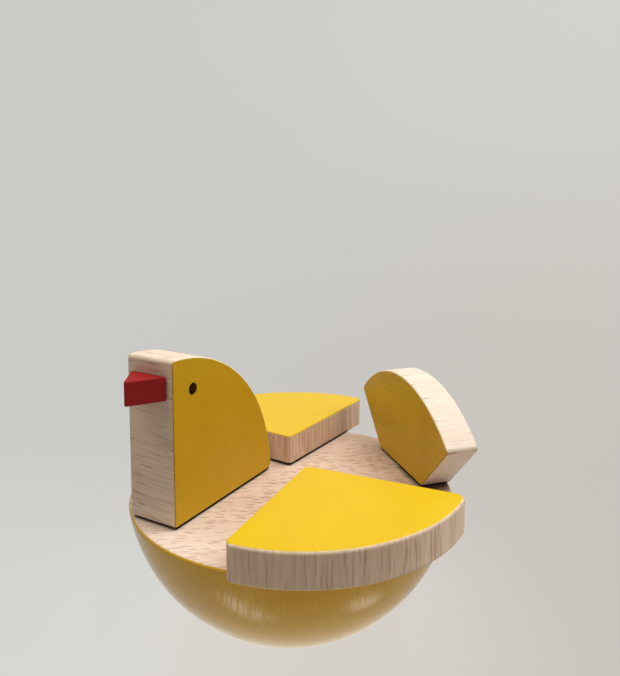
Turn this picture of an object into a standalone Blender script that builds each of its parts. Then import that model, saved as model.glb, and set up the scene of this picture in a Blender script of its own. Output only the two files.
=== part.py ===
"""Wooden rocking bird: a turned half ball with four quarter-round slabs pegged to its deck.

Sizes are in metres. +Z is up, the bird looks along -Y and its left side is +X.
The origin is the middle of the small flat at the bottom of the half ball.
"""

import math

import bmesh
import bpy

# Half ball: a turned ball sawn off a little below its middle
DECK_RADIUS = 0.050
BALL_CENTRE_RISE = 0.0076
FOOT_RADIUS = 0.003
DECK_ARRIS = 0.0010
BALL_STEPS = 96
BALL_RINGS = 18

# The bird's centre line runs beside the middle of the deck, as it was pegged on
BIRD_OFF_CENTRE = 0.00255

# Slabs: all four are sawn from quarter discs. Their corners are eased, and so are their arrises,
# less along the straight edges than round the arc
HALF_OPENING = math.radians(45.0)
POINT_ROUND = 0.0011
STRAIGHT_ARRIS = 0.0003
ARC_ARRIS = 0.0005
SLAB_ARC_STEPS = 26
CORNER_STEPS = 4
ARRIS_STEPS = 3

# Head: a standing quarter disc that turns on a peg under its middle
HEAD_RADIUS = 0.0474
HEAD_THICKNESS = 0.0165
HEAD_TOE_ROUND = 0.0020
HEAD_HEEL_ROUND = 0.0017
HEAD_TURN = math.radians(45.2)
HEAD_FRONT_PAST_RIM = 0.0002

# Wings: quarter discs that lie on the deck with their points inward, clear of the turning head
WING_RADIUS = 0.0483
WING_THICKNESS = 0.00995
WING_TOE_ROUND = 0.0027
LEFT_WING_HEEL_ROUND = 0.0021
RIGHT_WING_HEEL_ROUND = 0.0027
WING_POINT_ROUND = 0.0022
WING_ARC_ARRIS = 0.00105
LEFT_WING_POINT_OUT = 0.0127
RIGHT_WING_POINT_OUT = 0.0110
LEFT_WING_SWEEP = math.radians(6.5)
RIGHT_WING_SWEEP = math.radians(3.8)
LEFT_WING_CLEARANCE = 0.0052
RIGHT_WING_CLEARANCE = 0.0040

# Tail: a quarter disc that stands on a cut across its point
TAIL_RADIUS = 0.0467
TAIL_THICKNESS = 0.0102
TAIL_CORNER_ROUND = 0.0015
TAIL_POINT_CUT = 0.0157
TAIL_TURN = math.radians(2.7)
TAIL_BACK_FROM_RIM = 0.0021
TAIL_ASIDE = 0.0010

# Beak: a three-cornered block on the front of the head
BEAK_SIDE_MARGIN = 0.0016
BEAK_LENGTH = 0.0099
BEAK_HEIGHT = 0.0067
BEAK_BELOW_CROWN = 0.0078
BEAK_CORNER_ROUND = 0.0006
BEAK_ARRIS = 0.0003

# Eyes: dark pins let into both sides of the head
EYE_RADIUS = 0.00155
EYE_BACK = 0.0083
EYE_BELOW_CROWN = 0.0098
EYE_WEB = 0.0020
EYE_BORE_OUT = 0.0006

# Pegs and dowels, each with eased ends
NECK_PEG_RADIUS = 0.0040
NECK_PEG_IN_HEAD = 0.0160
NECK_PEG_IN_DECK = 0.0140
WING_DOWEL_RADIUS = 0.0030
WING_DOWEL_IN_DECK = 0.0120
WING_DOWEL_COVER = 0.0030
INNER_DOWEL_FROM_POINT = 0.0110
OUTER_DOWEL_FROM_RIM = 0.0110
TAIL_DOWEL_RADIUS = 0.0025
TAIL_DOWEL_IN_DECK = 0.0080
TAIL_DOWEL_IN_TAIL = 0.0120
TAIL_DOWEL_MARGIN = 0.0065
BEAK_PIN_RADIUS = 0.0015
BEAK_PIN_IN_BEAK = 0.0045
BEAK_PIN_IN_HEAD = 0.0045
DOWEL_CHAMFER = 0.0004
DOWEL_STEPS = 24

# Clearances
GAP = 0.0003
BORE_GAP = 0.0002
BORE_END_GAP = 0.0005

# Colour, roughness
BEECH = ((0.76, 0.57, 0.44), 0.55)
YELLOW = ((0.86, 0.55, 0.02), 0.38)
THIN_YELLOW = ((0.62, 0.42, 0.06), 0.32)
RED = ((0.42, 0.02, 0.025), 0.40)
DARK = ((0.035, 0.014, 0.008), 0.45)

SMOOTH_ANGLE = math.radians(35.0)
UP = 90.0

# Sizes that follow from those above
BALL_RADIUS = math.hypot(DECK_RADIUS, BALL_CENTRE_RISE)
DECK_HEIGHT = math.sqrt(BALL_RADIUS ** 2 - FOOT_RADIUS ** 2) - BALL_CENTRE_RISE
BIRD_SHIFT = -BIRD_OFF_CENTRE
HEAD_PIVOT_BACK = HEAD_RADIUS / 2 - HEAD_FRONT_PAST_RIM - DECK_RADIUS
HEAD_SWING_RADIUS = math.hypot(HEAD_RADIUS, HEAD_THICKNESS) / 2
TAIL_FRONT_BACK = DECK_RADIUS - TAIL_BACK_FROM_RIM - TAIL_THICKNESS
TAIL_FOOT_HALF = TAIL_POINT_CUT * math.tan(HALF_OPENING)
EYE_DEPTH = HEAD_THICKNESS / 2 - BEAK_PIN_RADIUS - EYE_WEB
BEAK_HALF_WIDTH = HEAD_THICKNESS / 2 - BEAK_SIDE_MARGIN
WING_PLACES = {
    "left": (1, LEFT_WING_POINT_OUT, LEFT_WING_SWEEP, LEFT_WING_CLEARANCE, LEFT_WING_HEEL_ROUND),
    "right": (-1, RIGHT_WING_POINT_OUT, RIGHT_WING_SWEEP, RIGHT_WING_CLEARANCE, RIGHT_WING_HEEL_ROUND),
}


def clear_scene():
    """Removes every object of the open scene."""
    for item in list(bpy.data.objects):
        bpy.data.objects.remove(item, do_unlink=True)


def material(name, look):
    """Makes a Principled material from a colour and a roughness."""
    colour, roughness = look
    made = bpy.data.materials.new(name)
    made.use_nodes = True
    shader = made.node_tree.nodes["Principled BSDF"]
    shader.inputs["Base Color"].default_value = (*colour, 1.0)
    shader.inputs["Roughness"].default_value = roughness
    shader.inputs["Metallic"].default_value = 0.0
    return made


def empty(name, place, turn=0.0, parent=None):
    """Makes an empty that carries other objects, turned about the vertical."""
    made = bpy.data.objects.new(name, None)
    made.location = place
    made.rotation_euler = (0.0, 0.0, turn)
    made.parent = parent
    bpy.context.scene.collection.objects.link(made)
    return made


def polar(radius, angle):
    """Returns the point at a radius and an angle."""
    return (radius * math.cos(angle), radius * math.sin(angle))


def arc(centre, radius, start, end, steps):
    """Returns points along an arc, both ends included."""
    angles = [start + (end - start) * i / steps for i in range(steps + 1)]
    return [(centre[0] + radius * math.cos(a), centre[1] + radius * math.sin(a)) for a in angles]


def rounded_polygon(corners, corner_round, inset):
    """Returns a convex outline whose corners are arcs, drawn in by inset."""
    points = []
    count = len(corners)
    for i, corner in enumerate(corners):
        before, after = corners[i - 1], corners[(i + 1) % count]
        came = math.atan2(corner[1] - before[1], corner[0] - before[0])
        goes = math.atan2(after[1] - corner[1], after[0] - corner[0])
        turn = (goes - came) % math.tau
        middle = came + turn / 2 + math.pi / 2
        reach = corner_round / math.cos(turn / 2)
        centre = (corner[0] + reach * math.cos(middle), corner[1] + reach * math.sin(middle))
        start = came - math.pi / 2
        points += arc(centre, corner_round - inset, start, start + turn, CORNER_STEPS)
    return points


def sector_outline(radius, middle, inset, toe_round, heel_round, point_round, point_cut):
    """Returns a quarter disc with eased corners, drawn in by inset.

    The disc's centre is the origin and middle is the direction of its centre line. The heel is
    the arc corner at the lower angle and the toe is the other one. point_cut is where a straight
    cut takes the point off, and 0 keeps the point.
    """
    low, high = middle - HALF_OPENING, middle + HALF_OPENING
    heel_turn = math.asin(heel_round / (radius - heel_round))
    toe_turn = math.asin(toe_round / (radius - toe_round))
    heel = polar(radius - heel_round, low + heel_turn)
    toe = polar(radius - toe_round, high - toe_turn)
    quarter = math.pi / 2
    points = arc(heel, heel_round - inset, low - quarter, low + heel_turn, CORNER_STEPS)
    points += arc((0.0, 0.0), radius - inset, low + heel_turn, high - toe_turn, SLAB_ARC_STEPS)[1:-1]
    points += arc(toe, toe_round - inset, high - toe_turn, high + quarter, CORNER_STEPS)
    if point_cut == 0.0:
        point = polar(point_round / math.sin(HALF_OPENING), middle)
        points += arc(point, point_round - inset, high + quarter, low - quarter + math.tau, CORNER_STEPS)
        return points
    along = polar(1.0, middle)
    across = (-along[1], along[0])
    deep = point_cut + point_round
    wide = (deep * math.sin(HALF_OPENING) - point_round) / math.cos(HALF_OPENING)
    upper = (deep * along[0] + wide * across[0], deep * along[1] + wide * across[1])
    lower = (deep * along[0] - wide * across[0], deep * along[1] - wide * across[1])
    points += arc(upper, point_round - inset, high + quarter, middle + math.pi, CORNER_STEPS)
    points += arc(lower, point_round - inset, middle + math.pi, low - quarter + math.tau, CORNER_STEPS)
    return points


def arc_share(point, radius, corner_round):
    """Returns 0 at a slab's straight edges and 1 at its arc, with a smooth change at the corners."""
    share = (math.hypot(point[0], point[1]) - radius) / corner_round + 1.0
    share = min(1.0, max(0.0, share))
    return share * share * (3.0 - 2.0 * share)


def slab_rings(outline, thickness, arrises):
    """Stacks an outline into a slab from z = 0 up, with rounded arrises.

    outline is a function of the inset. arrises holds the arris at each of its points.
    """
    rings = []
    for step in range(ARRIS_STEPS + 1):
        turn = math.pi / 2 * step / ARRIS_STEPS
        ring = []
        for i, arris in enumerate(arrises):
            x, y = outline(arris * (1.0 - math.sin(turn)))[i]
            ring.append((x, y, arris * (1.0 - math.cos(turn))))
        rings.append(ring)
    upper = [[(x, y, thickness - z) for x, y, z in ring] for ring in reversed(rings)]
    return rings + upper


def sector_rings(radius, middle, thickness, rounds, arc_arris, point_cut=0.0):
    """Returns the rings of a quarter-round slab. rounds holds its toe, heel and point roundings."""
    toe_round, heel_round, point_round = rounds

    def outline(inset):
        return sector_outline(radius, middle, inset, toe_round, heel_round, point_round, point_cut)

    corner = max(toe_round, heel_round)
    shares = [arc_share(point, radius, corner) for point in outline(0.0)]
    arrises = [STRAIGHT_ARRIS + (arc_arris - STRAIGHT_ARRIS) * share for share in shares]
    return slab_rings(outline, thickness, arrises)


def turned_rings(profile, steps):
    """Turns a profile of (radius, height) points about the vertical."""
    angles = [math.tau * i / steps for i in range(steps)]
    return [[(r * math.cos(a), r * math.sin(a), z) for a in angles] for r, z in profile]


def dowel_rings(radius, low, high, chamfer=DOWEL_CHAMFER):
    """Returns a dowel that stands on end, from low to high, with chamfered ends."""
    profile = [(radius - chamfer, low), (radius, low + chamfer)]
    profile += [(radius, high - chamfer), (radius - chamfer, high)]
    return turned_rings(profile, DOWEL_STEPS)


def bore_rings(radius, low, high):
    """Returns a flat-ended bore that stands on end."""
    return turned_rings([(radius, low), (radius, high)], DOWEL_STEPS)


def skin(name, rings, parent=None, place=(0.0, 0.0, 0.0), tilt=(0.0, 0.0, 0.0), look=None):
    """Makes an object from a stack of rings, closed by a flat face at both ends.

    tilt is in degrees.
    """
    shape = bmesh.new()
    rows = [[shape.verts.new(point) for point in ring] for ring in rings]
    for row, above in zip(rows, rows[1:]):
        for i in range(len(row)):
            j = (i + 1) % len(row)
            shape.faces.new((row[i], row[j], above[j], above[i]))
    shape.faces.new(list(reversed(rows[0])))
    shape.faces.new(rows[-1])
    bmesh.ops.recalc_face_normals(shape, faces=shape.faces[:])
    mesh = bpy.data.meshes.new(name)
    shape.to_mesh(mesh)
    shape.free()
    mesh.shade_smooth()
    mesh.set_sharp_from_angle(angle=SMOOTH_ANGLE)
    made = bpy.data.objects.new(name, mesh)
    made.location = place
    made.rotation_euler = [math.radians(a) for a in tilt]
    made.parent = parent
    bpy.context.scene.collection.objects.link(made)
    if look is not None:
        mesh.materials.append(look)
    return made


def bore_out(host, cutter):
    """Cuts the cutter out of its host and hides it."""
    cutter.hide_render = True
    cutter.display_type = "WIRE"
    cut = host.modifiers.new(cutter.name, "BOOLEAN")
    cut.operation = "DIFFERENCE"
    cut.solver = "EXACT"
    cut.object = cutter


def dowel(name, parent, place, radius, low, high, hosts, look, tilt=(0.0, 0.0, 0.0)):
    """Makes a dowel and the bore that it fills, which runs from low to high through its hosts."""
    rings = dowel_rings(radius, low + BORE_END_GAP, high - BORE_END_GAP)
    made = skin(name, rings, parent, place, tilt, look)
    cutter = skin(name + "_bore", bore_rings(radius + BORE_GAP, low, high), parent, place, tilt)
    for host in hosts:
        bore_out(host, cutter)
    return made


def make_half_ball(look):
    """Turns the half ball: foot flat, ball, eased rim and deck."""
    rim_in = math.sqrt((BALL_RADIUS - DECK_ARRIS) ** 2 - (BALL_CENTRE_RISE + DECK_ARRIS) ** 2)
    foot_angle = math.asin(FOOT_RADIUS / BALL_RADIUS)
    rim_angle = math.atan2(rim_in, BALL_CENTRE_RISE + DECK_ARRIS)
    centre = DECK_HEIGHT + BALL_CENTRE_RISE
    profile = []
    for i in range(BALL_RINGS + 1):
        angle = foot_angle + (rim_angle - foot_angle) * i / BALL_RINGS
        profile.append((BALL_RADIUS * math.sin(angle), centre - BALL_RADIUS * math.cos(angle)))
    for i in range(1, ARRIS_STEPS + 1):
        angle = rim_angle + (math.pi - rim_angle) * i / ARRIS_STEPS
        radius = rim_in + DECK_ARRIS * math.sin(angle)
        profile.append((radius, DECK_HEIGHT - DECK_ARRIS - DECK_ARRIS * math.cos(angle)))
    return skin("half_ball", turned_rings(profile, BALL_STEPS), look=look)


def wing_point(side, point_out, sweep, clearance):
    """Returns where a wing's point lies, so that its front edge clears the turning head."""
    edge = HALF_OPENING + sweep
    reach = HEAD_SWING_RADIUS + clearance - point_out * math.cos(edge)
    return (side * point_out, HEAD_PIVOT_BACK + reach / math.sin(edge), 0.0)


def make_wing(side_name, ball, bird, looks):
    """Makes a wing, its pair of dowels and their bores."""
    side, point_out, sweep, clearance, heel_round = WING_PLACES[side_name]
    point = wing_point(side, point_out, sweep, clearance)
    turn = sweep if side > 0 else math.pi - sweep
    seat = empty(side_name + "_wing_seat", point, turn, bird)
    rounds = (WING_TOE_ROUND, heel_round, WING_POINT_ROUND)
    rings = sector_rings(WING_RADIUS, 0.0, WING_THICKNESS, rounds, WING_ARC_ARRIS)
    wing = skin(side_name + "_wing", rings, seat, (0.0, 0.0, GAP), look=looks["yellow"])
    outer = DECK_RADIUS - OUTER_DOWEL_FROM_RIM - point_out - side * BIRD_SHIFT
    top = GAP + WING_THICKNESS - WING_DOWEL_COVER
    for name, out in (("inner", INNER_DOWEL_FROM_POINT), ("outer", outer)):
        dowel(f"{side_name}_wing_{name}_dowel", seat, (out, 0.0, 0.0), WING_DOWEL_RADIUS,
              -WING_DOWEL_IN_DECK, top, (ball, wing), looks["beech"])


def make_tail(ball, bird, looks):
    """Makes the standing tail, its pair of dowels and their bores."""
    seat = empty("tail_seat", (-TAIL_ASIDE, TAIL_FRONT_BACK, 0.0), TAIL_TURN, bird)
    rounds = (TAIL_CORNER_ROUND, TAIL_CORNER_ROUND, POINT_ROUND)
    rings = sector_rings(TAIL_RADIUS, math.pi / 2, TAIL_THICKNESS, rounds, ARC_ARRIS, TAIL_POINT_CUT)
    place = (0.0, 0.0, GAP - TAIL_POINT_CUT)
    tail = skin("tail", rings, seat, place, (UP, 0.0, 2 * UP), looks["yellow"])
    spread = TAIL_FOOT_HALF - TAIL_DOWEL_MARGIN
    for name, side in (("left", 1), ("right", -1)):
        dowel(f"tail_{name}_dowel", seat, (side * spread, TAIL_THICKNESS / 2, 0.0), TAIL_DOWEL_RADIUS,
              -TAIL_DOWEL_IN_DECK, GAP + TAIL_DOWEL_IN_TAIL, (ball, tail), looks["beech"])


def make_head(ball, pivot, looks):
    """Makes the head and the peg that it turns on. The pivot is under the head's middle."""
    place = (-HEAD_THICKNESS / 2, -HEAD_RADIUS / 2, GAP)
    rounds = (HEAD_TOE_ROUND, HEAD_HEEL_ROUND, POINT_ROUND)
    rings = sector_rings(HEAD_RADIUS, math.pi / 4, HEAD_THICKNESS, rounds, ARC_ARRIS)
    head = skin("head", rings, pivot, place, (UP, 0.0, UP), looks["yellow"])
    low, high = -NECK_PEG_IN_DECK, GAP + NECK_PEG_IN_HEAD
    peg = dowel_rings(NECK_PEG_RADIUS, low + BORE_END_GAP, high - BORE_END_GAP)
    skin("neck_peg", peg, pivot, look=looks["beech"])
    deck_bore = bore_rings(NECK_PEG_RADIUS + GAP, low, high)
    head_bore = bore_rings(NECK_PEG_RADIUS + BORE_GAP, low, high)
    bore_out(ball, skin("neck_bore_in_deck", deck_bore, pivot))
    bore_out(head, skin("neck_bore_in_head", head_bore, pivot))
    return head


def make_beak(head, pivot, looks):
    """Makes the beak, its pin and their bores."""
    front = -HEAD_RADIUS / 2
    middle = GAP + HEAD_RADIUS - BEAK_BELOW_CROWN
    corners = [(BEAK_HALF_WIDTH, 0.0), (-BEAK_HALF_WIDTH, 0.0), (0.0, -BEAK_LENGTH)]

    def outline(inset):
        return rounded_polygon(corners, BEAK_CORNER_ROUND, inset)

    place = (0.0, front - GAP, middle - BEAK_HEIGHT / 2)
    rings = slab_rings(outline, BEAK_HEIGHT, [BEAK_ARRIS] * len(outline(0.0)))
    beak = skin("beak", rings, pivot, place, look=looks["red"])
    dowel("beak_pin", pivot, (0.0, front, middle), BEAK_PIN_RADIUS,
          -BEAK_PIN_IN_HEAD, GAP + BEAK_PIN_IN_BEAK, (head, beak), looks["beech"], (UP, 0.0, 0.0))


def make_eyes(head, pivot, looks):
    """Makes the two eye pins and their bores. Each pin is flush with its side of the head."""
    back = EYE_BACK - HEAD_RADIUS / 2
    height = GAP + HEAD_RADIUS - EYE_BELOW_CROWN
    for name, side in (("left_eye", 1), ("right_eye", -1)):
        place = (side * HEAD_THICKNESS / 2, back, height)
        tilt = (0.0, side * UP, 0.0)
        pin = dowel_rings(EYE_RADIUS, BORE_END_GAP - EYE_DEPTH, 0.0, chamfer=BORE_GAP)
        skin(name, pin, pivot, place, tilt, looks["dark"])
        bore = bore_rings(EYE_RADIUS + BORE_GAP, -EYE_DEPTH, EYE_BORE_OUT)
        bore_out(head, skin(name + "_bore", bore, pivot, place, tilt))


def main():
    """Builds the whole bird."""
    clear_scene()
    looks = {
        "beech": material("beech", BEECH),
        "yellow": material("yellow_paint", YELLOW),
        "thin_yellow": material("thin_yellow_paint", THIN_YELLOW),
        "red": material("red_paint", RED),
        "dark": material("dark_wood", DARK),
    }
    bird = empty("bird_on_deck", (BIRD_SHIFT, 0.0, DECK_HEIGHT))
    pivot = empty("head_pivot", (0.0, HEAD_PIVOT_BACK, 0.0), HEAD_TURN, bird)
    ball = make_half_ball(looks["thin_yellow"])
    head = make_head(ball, pivot, looks)
    make_beak(head, pivot, looks)
    make_eyes(head, pivot, looks)
    make_wing("left", ball, bird, looks)
    make_wing("right", ball, bird, looks)
    make_tail(ball, bird, looks)
    bpy.context.view_layer.update()


if __name__ == "__main__":
    main()
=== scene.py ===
"""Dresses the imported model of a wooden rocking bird.

The bird has four slabs, each sawn across a stick of quarter-round beech, so that the fibres run
through their thickness. They are pegged to the deck of a half ball that was turned with its
fibres level. The flat sides of the slabs and the round side of the ball are painted.

Sizes are in metres. +Z is up, the bird looks along -Y and its left side is +X, as in the CAD.
"""

import logging
import math
from collections.abc import Callable, Iterator, Sequence
from contextlib import contextmanager
from dataclasses import dataclass, replace
from enum import Enum

import bmesh
import bpy
from mathutils import Euler, Matrix, Vector


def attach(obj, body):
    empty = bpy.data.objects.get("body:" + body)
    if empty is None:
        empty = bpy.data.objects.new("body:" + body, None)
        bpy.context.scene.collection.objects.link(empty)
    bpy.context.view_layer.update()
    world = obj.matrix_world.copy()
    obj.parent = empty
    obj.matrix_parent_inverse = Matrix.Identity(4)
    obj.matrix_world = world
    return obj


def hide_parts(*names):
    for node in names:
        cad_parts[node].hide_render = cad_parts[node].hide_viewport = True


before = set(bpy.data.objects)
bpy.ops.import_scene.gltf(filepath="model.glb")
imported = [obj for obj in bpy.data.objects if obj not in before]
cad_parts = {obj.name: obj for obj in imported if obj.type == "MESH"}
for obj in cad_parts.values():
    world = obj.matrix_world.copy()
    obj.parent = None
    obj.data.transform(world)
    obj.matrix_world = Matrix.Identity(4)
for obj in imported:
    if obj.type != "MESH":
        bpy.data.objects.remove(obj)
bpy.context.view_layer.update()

log = logging.getLogger("rocking_bird")

Colour = tuple[float, float, float]
Point = tuple[float, float, float]
Pair = tuple[float, float]
QUARTER = math.pi / 2
# Edges that turn by more than SHARP are rounded, and corners are planed in steps of FACET.
SHARP = math.radians(50.0)
FACET = math.radians(11.0)
SMOOTH = math.radians(40.0)
# A face stands upright if its normal rises by less than this.
UPRIGHT = 0.1
TOUCH = 1e-6
# Faces with more corners than this are split up before they are shaded.
MOST_CORNERS = 8
# The middle of noise, and the finer octaves of noise that is plainer or finer than usual.
MIDDLE = 0.5
PLAIN = 1.0
FINE = 3.0
# The camera's level directions, which the studio is laid out in.
CAMERA_RIGHT = Vector((0.2234, 0.9747, 0.0))
CAMERA_BACK = Vector((-0.9747, 0.2234, 0.0))


class Body(Enum):
    """The CAD bodies that pieces ride on."""

    ROCKER = "rocker"
    HEAD = "turning_head"


class Slot(Enum):
    """The record's material slots."""

    BALL = "thin_yellow_paint"
    SLAB = "yellow_paint"
    BEAK = "red_paint"
    EYE = "dark_wood"
    BARE = "beech"


# Shader maths


class Wire:
    """A socket in shader maths. An expression on wires adds the Math nodes that it needs."""

    def __init__(self, sheet: "NodeSheet", socket: bpy.types.NodeSocket) -> None:
        """Wraps an output socket and keeps the sheet that new nodes go to."""
        self.sheet = sheet
        self.socket = socket

    def math(self, operation: str, *values: "Value") -> "Wire":
        """Adds a Math node on the values, in order, and returns its result."""
        return self.sheet.add("ShaderNodeMath", {"operation": operation}, dict(enumerate(values)))

    def __add__(self, other: "Value") -> "Wire":
        """Adds."""
        return self.math("ADD", self, other)

    def __radd__(self, other: float) -> "Wire":
        """Adds to a number."""
        return self.math("ADD", other, self)

    def __sub__(self, other: "Value") -> "Wire":
        """Subtracts."""
        return self.math("SUBTRACT", self, other)

    def __rsub__(self, other: float) -> "Wire":
        """Subtracts from a number."""
        return self.math("SUBTRACT", other, self)

    def __mul__(self, other: "Value") -> "Wire":
        """Multiplies."""
        return self.math("MULTIPLY", self, other)

    def __rmul__(self, other: float) -> "Wire":
        """Multiplies a number."""
        return self.math("MULTIPLY", other, self)

    def __abs__(self) -> "Wire":
        """Drops the sign."""
        return self.math("ABSOLUTE", self)

    def least(self, other: "Value") -> "Wire":
        """Takes the lesser of two values."""
        return self.math("MINIMUM", self, other)

    def most(self, other: "Value") -> "Wire":
        """Takes the greater of two values."""
        return self.math("MAXIMUM", self, other)

    def reach(self, other: "Wire") -> "Wire":
        """Returns the length of the two values at a right angle."""
        return self.math("SQRT", self * self + other * other)

    def over(self, limit: float) -> "Wire":
        """Returns 1 where the value is over the limit, and 0 elsewhere."""
        return self.math("GREATER_THAN", self, limit)

    def rise(self, low: float, high: float) -> "Wire":
        """Rises smoothly from 0 at low to 1 at high, which may be the lesser number."""
        inputs = {0: self, 1: low, 2: high, 3: 0.0, 4: 1.0}
        return self.sheet.add("ShaderNodeMapRange", {"interpolation_type": "SMOOTHSTEP"}, inputs)

    def between(self, low: "Value", high: "Value") -> "Wire":
        """Blends two numbers, by this share of the second."""
        return low + self * (high - low)

    def swing(self, strength: float) -> "Wire":
        """Turns noise, which lies around 0.5, into a swing around 0."""
        return (self - MIDDLE) * strength

    def beside(self, name: str) -> "Wire":
        """Takes another output of the same node."""
        return Wire(self.sheet, self.socket.node.outputs[name])


Value = Wire | float


@dataclass(frozen=True)
class Skin:
    """What the light meets at a surface: its colour, roughness and height in metres."""

    colour: Wire | Colour
    roughness: Value
    height: Value

    def tinted(self, colour: Colour, share: Wire) -> "Skin":
        """Blends the skin's colour with another, by a share of the other."""
        return replace(self, colour=share.sheet.blend(share, self.colour, colour))

    def under(self, cover: "Skin", share: Wire) -> "Skin":
        """Lays another skin over this one.

        Args:
            cover: The skin on top.
            share: Where it covers, from 0 to 1.

        Returns:
            The two as one skin.
        """
        colour = share.sheet.blend(share, self.colour, cover.colour)
        roughness = share.between(self.roughness, cover.roughness)
        return Skin(colour, roughness, share.between(self.height, cover.height))


class NodeSheet:
    """The node tree of a material or world and the one way in which nodes are added to it."""

    def __init__(self, owner: bpy.types.Material | bpy.types.World) -> None:
        """Takes a material or world and empties its nodes.

        Args:
            owner: The material or world.
        """
        self.owner = owner
        owner.use_nodes = True
        self.tree = owner.node_tree
        self.tree.nodes.clear()

    @classmethod
    def material(cls, name: str) -> "NodeSheet":
        """Makes an empty material of a given name."""
        return cls(bpy.data.materials.new(name))

    def put(self, kind: str, settings: dict, inputs: dict) -> bpy.types.Node:
        """Puts down a node.

        Args:
            kind: The node's type.
            settings: Its properties, which are set before its sockets.
            inputs: Values or wires by socket name or number.

        Returns:
            The node.
        """
        node = self.tree.nodes.new(kind)
        for key, value in settings.items():
            setattr(node, key, value)
        for key, value in inputs.items():
            if isinstance(value, Wire):
                self.tree.links.new(value.socket, node.inputs[key])
            else:
                node.inputs[key].default_value = value
        return node

    def add(self, kind: str, settings: dict, inputs: dict, output: str | int = 0) -> Wire:
        """Puts down a node and returns one of its outputs, by name or number."""
        return Wire(self, self.put(kind, settings, inputs).outputs[output])

    def vector(self, operation: str, *values: Value | Point, output: str = "Vector") -> Wire:
        """Adds a Vector Math node on the values, in order, and returns its result."""
        return self.add("ShaderNodeVectorMath", {"operation": operation}, dict(enumerate(values)), output)

    def local(self, place: Matrix = Matrix.Identity(4)) -> Wire:
        """Reads the surface's position, in the object's space or in a frame of its own.

        Args:
            place: The frame, unscaled, in the object's space.

        Returns:
            The position vector in that frame.
        """
        read = self.add("ShaderNodeTexCoord", {}, {}, "Object")
        inputs = {"Vector": read, "Location": place.to_translation(), "Rotation": place.to_euler()}
        return self.add("ShaderNodeMapping", {"vector_type": "TEXTURE"}, inputs)

    def cells(self, position: Wire, size: Point, shift: float) -> Wire:
        """Counts a position in cells, with a shift that tells two patterns apart."""
        scale = tuple(1.0 / side for side in size)
        return self.vector("MULTIPLY_ADD", position, scale, (shift, shift, shift))

    def noise(self, position: Wire, size: Point, shift: float = 0.0, detail: float = 2.0) -> Wire:
        """Adds soft noise around 0.5, with grains of a given size and some finer octaves."""
        inputs = {"Vector": self.cells(position, size, shift), "Scale": 1.0, "Detail": detail}
        return self.add("ShaderNodeTexNoise", {}, inputs, "Fac")

    def specks(
            self, position: Wire, size: Point, shift: float, reach: float, share: float,
            edge: float) -> Wire:
        """Adds soft-edged specks, at most one to a cell.

        Args:
            position: The position vector in metres.
            size: The cell's size along X, Y and Z.
            shift: A shift in cells, so that two patterns differ.
            reach: The speck's half size as a share of the cell.
            share: The share of cells that have a speck.
            edge: How much of the reach has the full strength.

        Returns:
            1 in the specks and 0 around them.
        """
        inputs = {"Vector": self.cells(position, size, shift), "Scale": 1.0}
        distance = self.add("ShaderNodeTexVoronoi", {}, inputs, "Distance")
        chance = self.split(distance.beside("Color"))[0]
        return distance.rise(reach, edge * reach) * chance.over(1.0 - share)

    def split(self, vector: Wire) -> tuple[Wire, Wire, Wire]:
        """Splits a vector into its three numbers."""
        first = self.add("ShaderNodeSeparateXYZ", {}, {0: vector}, "X")
        return first, first.beside("Y"), first.beside("Z")

    def blend(self, share: Value, low: Wire | Colour, high: Wire | Colour) -> Wire:
        """Blends two colours, by a share of the second."""
        # The Mix node takes its colours at sockets 6 and 7 and gives them at output 2.
        ends = [end if isinstance(end, Wire) else (*end, 1.0) for end in (low, high)]
        return self.add("ShaderNodeMix", {"data_type": "RGBA"}, {0: share, 6: ends[0], 7: ends[1]}, 2)

    def dress(self, skin: Skin, specular: float) -> bpy.types.Material:
        """Ends the sheet with a Principled shader.

        Args:
            skin: What the shader shows.
            specular: The shader's specular level.

        Returns:
            The finished material.
        """
        bump = {"Height": skin.height, "Distance": 1.0, "Strength": 1.0}
        shading = {
            "Base Color": skin.colour,
            "Roughness": skin.roughness,
            "Normal": self.add("ShaderNodeBump", {}, bump),
            "Specular IOR Level": specular,
        }
        return self.close(self.add("ShaderNodeBsdfPrincipled", {}, shading))

    def close(self, shader: Wire, kind: str = "ShaderNodeOutputMaterial") -> bpy.types.ID:
        """Links a shader to an output node and returns the finished material or world."""
        self.put(kind, {}, {"Surface": shader})
        return self.owner

    def shown_rays(self) -> Wire:
        """Returns 1 for camera, glossy and transmitted rays and 0 for the others."""
        camera = self.add("ShaderNodeLightPath", {}, {}, "Is Camera Ray")
        return camera.most(camera.beside("Is Glossy Ray")).most(camera.beside("Is Transmission Ray"))


# Finishes


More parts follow.
